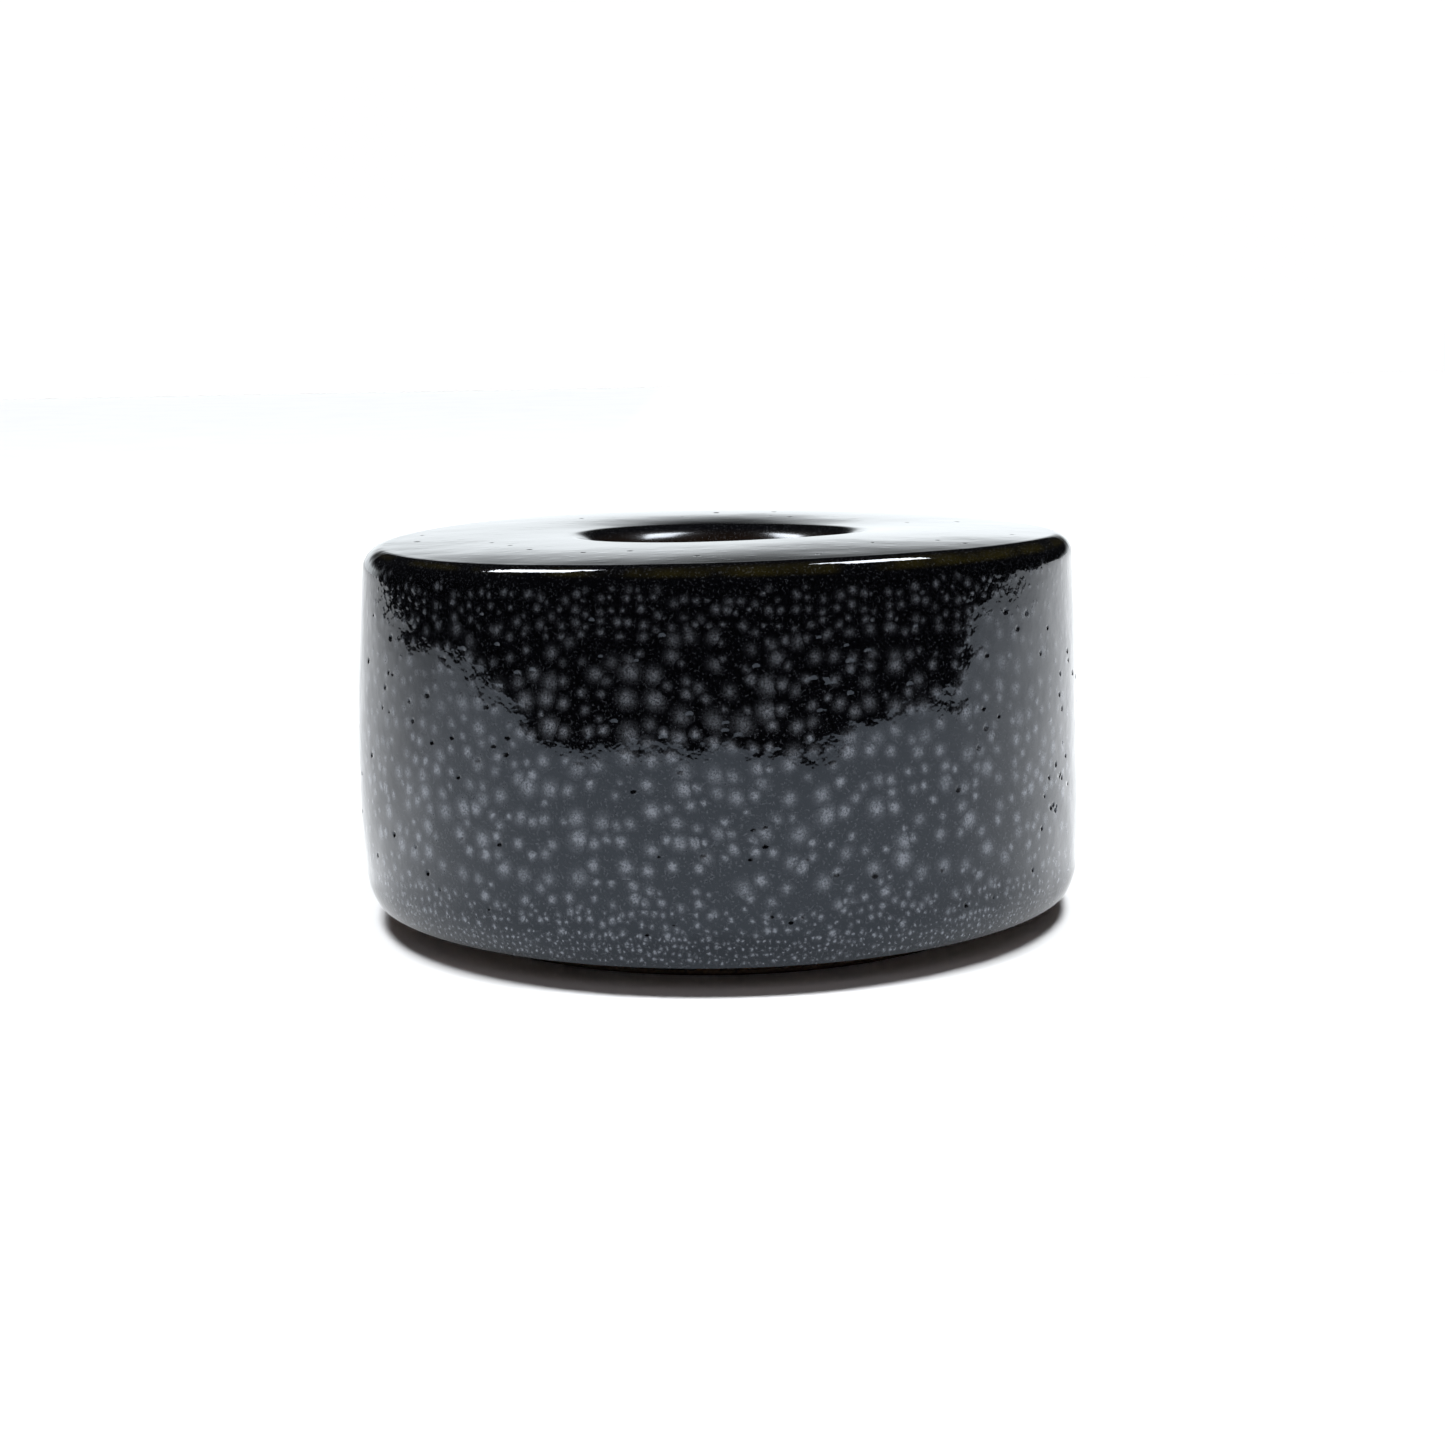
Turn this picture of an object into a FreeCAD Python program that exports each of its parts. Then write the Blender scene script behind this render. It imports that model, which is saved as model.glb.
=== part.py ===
import FreeCAD, Part
import math
import os
import Sketcher

# Empty candle jar: a low drum of glazed stoneware with a round mouth in its top.
# Millimetres. +Z is up, along the axis the jar was turned about. The origin is on
# that axis in the plane the foot ring stands on.
#
# The jar is made of four clay pieces luted together (foot ring, base plate, side
# wall and top plate) under four separate coats of glaze. The bare band on the foot
# ring is what keeps the coats apart underneath.

DIMENSIONS = {
    # Outside of the glazed drum
    "drum_radius": 55.0,       # widest place of the wall
    "belly_height": 20.5,      # height of that widest place
    "belly_curve": 418.0,      # radius of the wall's slight barrel shape
    "heel_curve": 12.1,        # radius under the belly, down to the arris
    "arris_radius": 53.6,      # lower edge of the wall
    "arris_height": 4.1,
    "shoulder_curve": 3.3,     # round edge between wall and top
    "dome_curve": 655.0,       # radius of the top, which rises a little to the lip
    "crest_radius": 23.0,      # highest ring of the lip
    "crest_height": 58.4,
    "throat_radius": 17.0,     # straight hole below the rounded lip
    "throat_low": 43.4,        # where the throat's straight wall ends
    # Thicknesses
    "glaze_coat": 0.6,         # outside coat and liner
    "base_coat": 0.4,          # thinner coats underneath
    "plate_clay": 4.0,         # clay of the top plate and its collar
    # Inside of the clay
    "chamber_radius": 48.8,
    "floor_height": 10.0,      # top of the base plate
    "cove_rise": 6.0,          # wall clay smoothed out over the floor: its height
    "cove_reach": 5.0,         # and its width
    "rim_height": 46.0,        # joint between side wall and top plate
    "rim_cove": 4.0,           # inside corner of the top plate
    # Foot
    "foot_radius": 43.0,       # outside of the foot ring
    "foot_edge": 0.5,          # rounding of the two edges the jar stands on
    "foot_rise": 1.2,          # cove between foot ring and base plate: its height
    "foot_reach": 1.0,         # and its width
    "foot_inner": 37.8,        # inside of the foot ring
    "foot_bare": 0.9,          # bare clay left above the standing plane
    "recess_height": 6.4,      # clay ceiling of the recess inside the foot ring
    "recess_cove": 1.6,
}


class Size:
    """A length together with the spreadsheet expression that gives it."""

    def __init__(self, value, text):
        self.value = value
        self.text = text

    def __add__(self, other):
        return Size(self.value + other.value, "%s + %s" % (self.text, other.text))

    def __sub__(self, other):
        return Size(self.value - other.value, "%s - (%s)" % (self.text, other.text))


def dimension_sheet(document):
    """Puts the driving dimensions in a sheet and returns them as Size objects."""
    sheet = document.addObject("Spreadsheet::Sheet", "dims")
    sizes = {}
    for row, (name, value) in enumerate(DIMENSIONS.items(), start=1):
        sheet.set("A%d" % row, name)
        sheet.set("B%d" % row, str(value))
        sheet.setAlias("B%d" % row, name)
        sizes[name] = Size(value, "dims.%s" % name)
    return sizes


def plain(size):
    """The number behind a Size, or the number itself."""
    return size.value if isinstance(size, Size) else size


def meet(centre_a, reach_a, centre_b, reach_b):
    """The outer of the two points at the given distances from two centres."""
    along_x = centre_b[0] - centre_a[0]
    along_y = centre_b[1] - centre_a[1]
    gap = math.hypot(along_x, along_y)
    near = (reach_a ** 2 - reach_b ** 2 + gap ** 2) / (2 * gap)
    side = math.sqrt(reach_a ** 2 - near ** 2)
    foot_x = centre_a[0] + near * along_x / gap
    foot_y = centre_a[1] + near * along_y / gap
    candidates = [(foot_x - turn * side * along_y / gap, foot_y + turn * side * along_x / gap)
                  for turn in (1, -1)]
    return max(candidates)


def beyond(start, through, reach):
    """The point at a distance from start, on the ray that runs on through another."""
    gap = math.hypot(through[0] - start[0], through[1] - start[1])
    return (start[0] + (through[0] - start[0]) * reach / gap,
            start[1] + (through[1] - start[1]) * reach / gap)


class Section:
    """Half-section of a turned piece. In the sketch x is radius and y is height.

    The pen goes once round the outline. A coordinate given as a Size is bound to
    the sheet, and a plain number is only a starting value that tangency settles.
    """

    def __init__(self, body, start):
        self.sketch = body.newObject("Sketcher::SketchObject", body.Name + "_section")
        planes = [f for f in body.Origin.OriginFeatures if f.Role == "XZ_Plane"]
        self.sketch.AttachmentSupport = [(planes[0], "")]
        self.sketch.MapMode = "FlatFace"
        self.start = start
        self.pen = start
        self.first = None
        self.last = None

    def bind(self, kind, places, size):
        index = self.sketch.addConstraint(Sketcher.Constraint(kind, *places, size.value))
        self.sketch.setExpression("Constraints[%d]" % index, size.text)

    def pin(self, geometry, position, point):
        """Ties a point to the axis, to the standing plane or to its dimensions."""
        for kind, other_axis, size in (("DistanceX", -2, point[0]), ("DistanceY", -1, point[1])):
            if not isinstance(size, Size):
                continue
            if size.value == 0:
                on_axis = Sketcher.Constraint("PointOnObject", geometry, position, other_axis)
                self.sketch.addConstraint(on_axis)
            else:
                self.bind(kind, (-1, 1, geometry, position), size)

    def join(self, geometry, head, tail, end, smooth):
        """Links the new edge to the last one and pins its far end."""
        if self.last is None:
            self.first = (geometry, head)
            self.pin(geometry, head, self.start)
        else:
            kind = "Tangent" if smooth else "Coincident"
            self.sketch.addConstraint(Sketcher.Constraint(kind, *self.last, geometry, head))
        if end is self.start:
            self.sketch.addConstraint(Sketcher.Constraint("Coincident", geometry, tail, *self.first))
        else:
            self.pin(geometry, tail, end)
        self.last = (geometry, tail)
        self.pen = end

    def line(self, end, smooth=False, along=None):
        here = FreeCAD.Vector(plain(self.pen[0]), plain(self.pen[1]), 0)
        there = FreeCAD.Vector(plain(end[0]), plain(end[1]), 0)
        geometry = self.sketch.addGeometry(Part.LineSegment(here, there), False)
        self.join(geometry, 1, 2, end, smooth)
        if along:
            self.sketch.addConstraint(Sketcher.Constraint(along, geometry))

    def arc(self, end, centre, radius=None, clockwise=False, smooth=False):
        """An arc to end. Parts of its centre given as a Size are bound too."""
        middle = FreeCAD.Vector(plain(centre[0]), plain(centre[1]), 0)
        here, there = [math.atan2(plain(p[1]) - middle.y, plain(p[0]) - middle.x)
                       for p in (self.pen, end)]
        reach = math.hypot(plain(end[0]) - middle.x, plain(end[1]) - middle.y)
        circle = Part.Circle(middle, FreeCAD.Vector(0, 0, 1), reach)
        turn = (there, here) if clockwise else (here, there)
        if turn[1] < turn[0]:
            turn = (turn[0], turn[1] + 2 * math.pi)
        geometry = self.sketch.addGeometry(Part.ArcOfCircle(circle, *turn), False)
        head, tail = (2, 1) if clockwise else (1, 2)
        self.join(geometry, head, tail, end, smooth)
        if radius:
            self.bind("Radius", (geometry,), radius)
        self.pin(geometry, 3, centre)
        return geometry

    def close(self, smooth=False):
        self.line(self.start, smooth)


class Surface:
    """The outside of the jar, or of its clay, at a depth below the finished glaze."""

    def __init__(self, size, depth, arris):
        self.arris = arris
        self.throat_low = size["throat_low"]
        self.belly = size["belly_curve"] - depth
        self.heel = size["heel_curve"] - depth
        self.shoulder = size["shoulder_curve"] - depth
        self.dome = size["dome_curve"] - depth
        self.funnel = size["crest_radius"] - size["throat_radius"] - depth
        self.crest = (size["crest_radius"], size["crest_height"] - depth)
        # The belly's centre is on the far side of the axis, so its distance from the
        # axis is bound on its own, measured back towards the axis.
        self.far_side = size["belly_curve"] - size["drum_radius"]
        belly_centre = (-self.far_side.value, size["belly_height"].value)
        self.belly_centre = (belly_centre[0], size["belly_height"])
        self.dome_centre = (self.crest[0].value, self.crest[1].value - self.dome.value)
        funnel_height = self.crest[1].value - self.funnel.value
        self.funnel_centre = (size["crest_radius"], funnel_height)
        self.throat_top = (size["throat_radius"].value + depth.value, funnel_height)
        self.shoulder_centre = meet(belly_centre, self.belly.value - self.shoulder.value,
                                    self.dome_centre, self.dome.value - self.shoulder.value)
        self.heel_centre = meet(belly_centre, self.belly.value - self.heel.value,
                                (arris[0].value, arris[1].value), self.heel.value)
        self.heel_end = beyond(belly_centre, self.heel_centre, self.belly.value)
        self.belly_end = beyond(belly_centre, self.shoulder_centre, self.belly.value)
        self.dome_start = beyond(self.dome_centre, self.shoulder_centre, self.dome.value)

    def wall_at(self, height):
        """The wall at a given height; its radius follows from the belly's curve."""
        rise = height.value - self.belly_centre[1].value
        return (self.belly_centre[0] + math.sqrt(self.belly.value ** 2 - rise ** 2), height)

    def draw_heel(self, section):
        section.arc(self.heel_end, self.heel_centre, self.heel)

    def draw_heel_back(self, section):
        section.arc(self.arris, self.heel_centre, self.heel, clockwise=True, smooth=True)

    def draw_belly(self, section, end, clockwise=False, smooth=True):
        geometry = section.arc(end, self.belly_centre, self.belly, clockwise, smooth)
        section.bind("DistanceX", (geometry, 3, -1, 1), self.far_side)

    def draw_top(self, section):
        """On from the belly: over the shoulder and the crest, and down the throat."""
        section.arc(self.dome_start, self.shoulder_centre, self.shoulder, smooth=True)
        section.arc(self.crest, self.dome_centre, self.dome, smooth=True)
        section.arc(self.throat_top, self.funnel_centre, self.funnel, smooth=True)
        section.line((self.throat_top[0], self.throat_low), smooth=True, along="Vertical")

    def draw_top_back(self, section):
        """The same way back, from the throat to the belly."""
        section.line(self.throat_top, along="Vertical")
        section.arc(self.crest, self.funnel_centre, self.funnel, clockwise=True, smooth=True)
        section.arc(self.dome_start, self.dome_centre, self.dome, clockwise=True, smooth=True)
        section.arc(self.belly_end, self.shoulder_centre, self.shoulder,
                    clockwise=True, smooth=True)


class Chamber:
    """The wall of the wax chamber at a coat's depth inside the clay (0 is the clay)."""

    def __init__(self, size, coat):
        self.low = size["throat_low"]
        self.floor = size["floor_height"] + coat
        self.radius = size["chamber_radius"] - coat
        self.ceiling = size["crest_height"] - size["glaze_coat"] - size["plate_clay"] - coat
        self.collar = size["throat_radius"] + size["glaze_coat"] + size["plate_clay"] + coat
        self.corner = size["rim_cove"] - coat
        self.bend = size["crest_radius"] - self.collar
        self.bend_end = (size["crest_radius"], self.ceiling)
        self.bend_centre = (size["crest_radius"].value, self.ceiling.value - self.bend.value)
        self.corner_centre = (self.radius.value - self.corner.value,
                              self.ceiling.value - self.corner.value)

    def draw_collar_edge(self, section, lip_start, clockwise=False):
        """Half round under the collar, between the throat and the collar's outside."""
        middle = ((lip_start.value + self.collar.value) / 2, self.low)
        end = (lip_start, self.low) if clockwise else (self.collar, self.low)
        section.arc(end, middle, clockwise=clockwise)

    def draw_ceiling(self, section):
        """From the collar's edge up its outside and over the ceiling to the wall."""
        section.line((self.collar.value, self.bend_centre[1]), along="Vertical")
        section.arc(self.bend_end, self.bend_centre, self.bend, clockwise=True, smooth=True)
        section.line((self.corner_centre[0], self.ceiling.value), along="Horizontal")
        section.arc((self.radius.value, self.corner_centre[1]), self.corner_centre,
                    self.corner, clockwise=True, smooth=True)

    def draw_ceiling_back(self, section):
        """From the wall over the ceiling and down the outside of the collar."""
        section.arc((self.corner_centre[0], self.ceiling.value), self.corner_centre,
                    self.corner, smooth=True)
        section.line(self.bend_end, smooth=True, along="Horizontal")
        section.arc((self.collar.value, self.bend_centre[1]), self.bend_centre, self.bend)
        section.line((self.collar, self.low), smooth=True, along="Vertical")


def revolve(body, section):
    """Turns a half-section once round the jar's axis."""
    turned = body.newObject("PartDesign::Revolution", body.Name + "_turned")
    turned.Profile = section.sketch
    turned.ReferenceAxis = (section.sketch, ["V_Axis"])
    turned.Angle = 360.0
    section.sketch.Visibility = False


def new_body(document, name):
    body = document.addObject("PartDesign::Body", name)
    body.Label = name
    body.Placement = FreeCAD.Placement()
    return body


def clay_surface(size):
    """The outside of the bare clay."""
    arris = (size["arris_radius"] - size["glaze_coat"], size["arris_height"] + size["base_coat"])
    return Surface(size, size["glaze_coat"], arris)


def floor_cove(size):
    """Ends and centre of the curve in which the wall's clay runs out over the floor.

    It is tangent to the wall and meets the floor at a blunt angle.
    """
    top = (size["chamber_radius"].value, size["floor_height"] + size["cove_rise"])
    foot = (size["chamber_radius"] - size["cove_reach"], size["floor_height"])
    rise = size["cove_rise"].value
    reach = size["cove_reach"].value
    curve = (rise ** 2 + reach ** 2) / (2 * reach)
    return top, foot, (top[0] - curve, top[1].value)


def foot_cove(size, coat):
    """The same for the small curve between the foot ring and the underside."""
    underside = size["arris_height"] + size["base_coat"]
    foot = ((size["foot_radius"] + coat).value, underside - size["foot_rise"])
    top = (size["foot_radius"] + size["foot_reach"], underside - coat)
    rise = size["foot_rise"].value - coat.value
    reach = size["foot_reach"].value - coat.value
    curve = (rise ** 2 + reach ** 2) / (2 * reach)
    return foot, top, (foot[0] + curve, foot[1].value)


def foot_ring(document, size):
    """Turned ring of bare clay that the jar stands on."""
    body = new_body(document, "foot_ring")
    underside = size["arris_height"] + size["base_coat"]
    edge = size["foot_edge"]
    inner = size["foot_inner"].value
    outer = size["foot_radius"].value
    ground = Size(0, "0")
    section = Section(body, (size["foot_inner"], underside))
    section.line((inner, edge.value), along="Vertical")
    section.arc((inner + edge.value, 0), (inner + edge.value, edge.value), edge, smooth=True)
    section.line((outer - edge.value, ground), smooth=True, along="Horizontal")
    section.arc((outer, edge.value), (outer - edge.value, edge.value), edge, smooth=True)
    cove_start, cove_end, cove_centre = foot_cove(size, Size(0, "0"))
    section.line((size["foot_radius"], cove_start[1]), smooth=True, along="Vertical")
    section.arc(cove_end, cove_centre, clockwise=True, smooth=True)
    section.close()
    revolve(body, section)
    return body


def base_plate(document, size):
    """Round slab under the chamber, trimmed out a little inside the foot ring."""
    body = new_body(document, "base_plate")
    clay = clay_surface(size)
    axis = Size(0, "0")
    cove = size["recess_cove"]
    cove_centre = (size["foot_inner"].value - cove.value, size["recess_height"].value - cove.value)
    section = Section(body, (axis, size["recess_height"]))
    section.line((cove_centre[0], size["recess_height"].value), along="Horizontal")
    section.arc((size["foot_inner"].value, cove_centre[1]), cove_centre, cove,
                clockwise=True, smooth=True)
    section.line((size["foot_inner"], clay.arris[1]), smooth=True, along="Vertical")
    section.line(clay.arris)
    clay.draw_heel(section)
    clay.draw_belly(section, clay.wall_at(size["floor_height"]))
    section.line((axis, size["floor_height"]))
    section.close()
    revolve(body, section)
    return body


def side_wall(document, size):
    """Barrel-shaped wall standing on the base plate, smoothed out over the floor."""
    body = new_body(document, "side_wall")
    clay = clay_surface(size)
    cove_top, cove_foot, cove_centre = floor_cove(size)
    section = Section(body, clay.wall_at(size["floor_height"]))
    clay.draw_belly(section, clay.wall_at(size["rim_height"]))
    section.line((size["chamber_radius"], size["rim_height"]))
    section.line(cove_top, along="Vertical")
    section.arc(cove_foot, cove_centre, clockwise=True, smooth=True)
    section.close()
    revolve(body, section)
    return body


def top_plate(document, size):
    """Top with a turned-down rim, a rounded shoulder and a collar round the mouth."""
    body = new_body(document, "top_plate")
    clay = clay_surface(size)
    chamber = Chamber(size, Size(0, "0"))
    section = Section(body, clay.wall_at(size["rim_height"]))
    clay.draw_belly(section, clay.belly_end)
    clay.draw_top(section)
    chamber.draw_collar_edge(section, size["throat_radius"] + size["glaze_coat"])
    chamber.draw_ceiling(section)
    section.line((size["chamber_radius"], size["rim_height"]), smooth=True, along="Vertical")
    section.close()
    revolve(body, section)
    return body


def outer_glaze(document, size):
    """Thick outside coat, from the arris over the shoulder and down the throat."""
    body = new_body(document, "outer_glaze")
    finish = Surface(size, Size(0, "0"), (size["arris_radius"], size["arris_height"]))
    clay = clay_surface(size)
    section = Section(body, finish.arris)
    finish.draw_heel(section)
    finish.draw_belly(section, finish.belly_end)
    finish.draw_top(section)
    section.line((clay.throat_top[0], size["throat_low"]))
    clay.draw_top_back(section)
    clay.draw_belly(section, clay.heel_end, clockwise=True)
    clay.draw_heel_back(section)
    section.close()
    revolve(body, section)
    return body


def liner_glaze(document, size):
    """Coat that seals the chamber and wraps round the collar's lower edge."""
    body = new_body(document, "liner_glaze")
    axis = Size(0, "0")
    clay = Chamber(size, Size(0, "0"))
    coat = Chamber(size, size["glaze_coat"])
    cove_top, cove_foot, cove_centre = floor_cove(size)
    curve = size["cove_rise"] - size["glaze_coat"]
    coat_centre = (coat.radius.value - curve.value, coat.floor.value + curve.value)
    section = Section(body, (axis, size["floor_height"]))
    section.line(cove_foot)
    section.arc((size["chamber_radius"], cove_top[1]), cove_centre)
    section.line((clay.radius.value, clay.corner_centre[1]), smooth=True, along="Vertical")
    clay.draw_ceiling_back(section)
    clay.draw_collar_edge(section, size["throat_radius"] + size["glaze_coat"], clockwise=True)
    section.line((size["throat_radius"], size["throat_low"]))
    coat.draw_collar_edge(section, size["throat_radius"])
    coat.draw_ceiling(section)
    section.line((coat.radius, coat_centre[1]), smooth=True, along="Vertical")
    section.arc((coat_centre[0], coat.floor.value), coat_centre, curve, clockwise=True, smooth=True)
    section.line((axis, coat.floor), smooth=True, along="Horizontal")
    section.close()
    revolve(body, section)
    return body


def underside_glaze(document, size):
    """Thin coat from the arris in to the foot ring and part of the way down it."""
    body = new_body(document, "underside_glaze")
    clay_arris = clay_surface(size).arris
    clay_start, clay_end, clay_centre = foot_cove(size, Size(0, "0"))
    coat_start, coat_end, coat_centre = foot_cove(size, size["base_coat"])
    face = size["foot_radius"] + size["base_coat"]
    section = Section(body, (size["arris_radius"], size["arris_height"]))
    section.line(clay_arris)
    section.line(clay_end)
    section.arc(clay_start, clay_centre)
    section.line((size["foot_radius"], size["foot_bare"]), smooth=True, along="Vertical")
    section.line((face, size["foot_bare"]))
    section.line(coat_start, along="Vertical")
    section.arc(coat_end, coat_centre, clockwise=True, smooth=True)
    section.close()
    revolve(body, section)
    return body


def recess_glaze(document, size):
    """Thin coat of the recess inside the foot ring."""
    body = new_body(document, "recess_glaze")
    axis = Size(0, "0")
    coat = size["base_coat"]
    inner = size["foot_inner"].value
    height = size["recess_height"].value
    clay_curve = size["recess_cove"]
    coat_curve = clay_curve - coat
    centre = (inner - clay_curve.value, height - clay_curve.value)
    section = Section(body, (axis, size["recess_height"] - coat))
    section.line((centre[0], height - coat.value), along="Horizontal")
    section.arc((inner - coat.value, centre[1]), centre, coat_curve, clockwise=True, smooth=True)
    section.line((size["foot_inner"] - coat, size["foot_bare"]), smooth=True, along="Vertical")
    section.line((size["foot_inner"], size["foot_bare"]))
    section.line((inner, centre[1]), along="Vertical")
    section.arc((centre[0], height), centre, clay_curve, smooth=True)
    section.line((axis, size["recess_height"]), smooth=True, along="Horizontal")
    section.close()
    revolve(body, section)
    return body


PIECES = (foot_ring, base_plate, side_wall, top_plate,
          outer_glaze, liner_glaze, underside_glaze, recess_glaze)


def check(document, bodies):
    """Stops if any object failed to compute or any piece is not one sound solid."""
    for item in document.Objects:
        if "Invalid" in item.State or "Error" in item.State:
            raise RuntimeError("%s failed: %s" % (item.Name, item.State))
        if item.TypeId == "Sketcher::SketchObject" and item.solve() != 0:
            raise RuntimeError("%s does not solve" % item.Name)
    for body in bodies:
        shape = body.Shape
        if shape.isNull() or not shape.isValid() or len(shape.Solids) != 1:
            raise RuntimeError("%s is not one sound solid" % body.Label)


def main():
    document = FreeCAD.newDocument("candle_jar")
    size = dimension_sheet(document)
    document.recompute()
    bodies = [make(document, size) for make in PIECES]
    document.recompute()
    check(document, bodies)
    os.makedirs("parts", exist_ok=True)
    for body in bodies:
        body.Shape.exportStep(os.path.join("parts", body.Label + ".step"))
        print("%-16s %9.1f mm3" % (body.Label, body.Shape.Volume))


main()
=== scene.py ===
import math

import bmesh
import bpy
import numpy as np
from mathutils import Matrix, Vector
from mathutils.kdtree import KDTree


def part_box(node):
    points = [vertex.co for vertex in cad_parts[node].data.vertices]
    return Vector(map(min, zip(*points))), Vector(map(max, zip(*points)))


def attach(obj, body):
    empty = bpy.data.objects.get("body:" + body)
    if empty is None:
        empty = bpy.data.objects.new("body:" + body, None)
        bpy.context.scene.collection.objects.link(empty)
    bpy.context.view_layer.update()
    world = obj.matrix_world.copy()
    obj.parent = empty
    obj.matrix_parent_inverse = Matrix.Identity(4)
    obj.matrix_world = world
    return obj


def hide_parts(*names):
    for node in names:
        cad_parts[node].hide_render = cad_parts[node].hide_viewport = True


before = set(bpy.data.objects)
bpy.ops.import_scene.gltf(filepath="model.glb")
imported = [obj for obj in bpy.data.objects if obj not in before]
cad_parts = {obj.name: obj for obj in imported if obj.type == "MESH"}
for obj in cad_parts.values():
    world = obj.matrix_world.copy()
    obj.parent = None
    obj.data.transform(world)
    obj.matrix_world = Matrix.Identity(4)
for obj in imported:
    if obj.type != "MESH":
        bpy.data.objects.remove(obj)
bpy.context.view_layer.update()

BODY = "root"
MM = 0.001

# ---------------------------------------------------------------- sizes, in metres

# From the frame.
GLAZE_LOW, GLAZE_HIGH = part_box("outer_glaze")
DRUM_RADIUS = GLAZE_HIGH.x
CREST_HEIGHT = GLAZE_HIGH.z
ARRIS_HEIGHT = GLAZE_LOW.z
FLOOR_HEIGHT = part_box("liner_glaze")[0].z

# Thicknesses, as in the CAD part.
BASE_COAT = 0.4 * MM
COAT = 0.6 * MM
PLATE = 4.0 * MM

# Curves of the turned profile, as in the CAD part.
BELLY_HEIGHT = 20.5 * MM
BELLY_CURVE = 418.0 * MM
HEEL_CURVE = 12.1 * MM
ARRIS_RADIUS = 53.6 * MM
SHOULDER_CURVE = 3.3 * MM
DOME_CURVE = 655.0 * MM
CREST_RADIUS = 23.0 * MM
THROAT_RADIUS = 17.0 * MM
THROAT_LOW = 43.4 * MM


def meet(centre_a, reach_a, centre_b, reach_b):
    """The outer of the two points at the given distances from two centres."""
    along = (centre_b[0] - centre_a[0], centre_b[1] - centre_a[1])
    gap = math.hypot(*along)
    near = (reach_a ** 2 - reach_b ** 2 + gap ** 2) / (2 * gap)
    side = math.sqrt(reach_a ** 2 - near ** 2)
    foot = (centre_a[0] + near * along[0] / gap, centre_a[1] + near * along[1] / gap)
    return max((foot[0] - turn * side * along[1] / gap, foot[1] + turn * side * along[0] / gap)
               for turn in (1, -1))


def angle_to(centre, point):
    return math.atan2(point[1] - centre[1], point[0] - centre[0])


def arc(centre, radius, start, end, step):
    """Points along an arc from one angle to another, about a step apart."""
    count = max(2, round(abs(end - start) * radius / step))
    return [(centre[0] + radius * math.cos(start + (end - start) * i / count),
             centre[1] + radius * math.sin(start + (end - start) * i / count))
            for i in range(count + 1)]


def straight(start, end, step):
    count = max(1, round(math.dist(start, end) / step))
    return [(start[0] + (end[0] - start[0]) * i / count,
             start[1] + (end[1] - start[1]) * i / count) for i in range(count + 1)]


def chain(*stretches):
    """Joins stretches of points and drops the doubled points where they meet."""
    line = []
    for stretch in stretches:
        for point in stretch:
            if not line or math.dist(line[-1], point) > 1e-7:
                line.append(point)
    return line


def outer_line(depth, arris, step):
    """The outside from the arris to the throat, at a depth below the finished glaze."""
    belly = (DRUM_RADIUS - BELLY_CURVE, BELLY_HEIGHT)
    dome = (CREST_RADIUS, CREST_HEIGHT - DOME_CURVE)
    shoulder = meet(belly, BELLY_CURVE - SHOULDER_CURVE, dome, DOME_CURVE - SHOULDER_CURVE)
    heel = meet(belly, BELLY_CURVE - HEEL_CURVE, arris, HEEL_CURVE - depth)
    funnel = (CREST_RADIUS, CREST_HEIGHT - (CREST_RADIUS - THROAT_RADIUS))
    low = angle_to(belly, heel)
    high = angle_to(belly, shoulder)
    rim = angle_to(dome, shoulder)
    throat = THROAT_RADIUS + depth
    return chain(
        arc(heel, HEEL_CURVE - depth, angle_to(heel, arris), low, step * 0.7),
        arc(belly, BELLY_CURVE - depth, low, high, step),
        arc(shoulder, SHOULDER_CURVE - depth, high, rim, step * 0.5),
        arc(dome, DOME_CURVE - depth, rim, math.pi / 2, step),
        arc(funnel, CREST_RADIUS - THROAT_RADIUS - depth, math.pi / 2, math.pi, step * 0.8),
        straight((throat, funnel[1]), (throat, THROAT_LOW), step))


# ---------------------------------------------------------------- meshes

def ripple(points, wavelength, height, seed, count=48):
    """A smooth random height field: plane waves of about one wavelength, added up."""
    random = np.random.RandomState(seed)
    direction = random.normal(size=(count, 3))
    direction /= np.linalg.norm(direction, axis=1)[:, None]
    reach = 2 * math.pi / (wavelength * random.uniform(0.7, 1.5, count))
    phase = random.uniform(0, 2 * math.pi, count)
    waves = np.sin(points @ (direction * reach[:, None]).T + phase)
    return height * waves.sum(axis=1) * math.sqrt(2 / count)


# How far the hand-made jar is out of true. The first five are slopes, and SINK_CURVE is
# per metre.
LEAN_SIDE = 0.0011
LEAN_BACK = -0.0049
LEAN_TWIST = 0.0068
LEAN_FOLD = 0.0063
LEAN_BOW = 0.028
OUT_OF_ROUND = 0.68 * MM
SINK_DEPTH = 0.5 * MM
SINK_START = 50 * MM
SINK_CURVE = 1.0


def lean(points):
    """Points of the true jar, moved to where the hand-made jar has them.

    Its top tilts and folds, and sinks at the back towards the mouth. Its wall bows to
    the left and bulges on that side. Its foot stays flat.
    """
    x, y, z = points.T
    rise = np.clip(z / CREST_HEIGHT, 0, None) ** 2
    turn = np.arctan2(x, -y)
    out = np.hypot(x, y)
    sag = LEAN_SIDE * x + LEAN_BACK * y + out * (LEAN_TWIST * np.sin(2 * turn)
                                                + LEAN_FOLD * np.cos(2 * turn))
    dip = SINK_DEPTH + SINK_CURVE * np.clip(SINK_START - out, 0, None) ** 2
    sink = dip * ((1 - np.cos(turn)) / 2) ** 2
    bow = LEAN_BOW * z * (1 - z / DRUM_RADIUS)
    bulge = OUT_OF_ROUND * (np.clip(-x, 0, None) / DRUM_RADIUS) ** 2
    return np.stack([x - bow - bulge, y, z + rise * (sag - sink)], axis=1)


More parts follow.
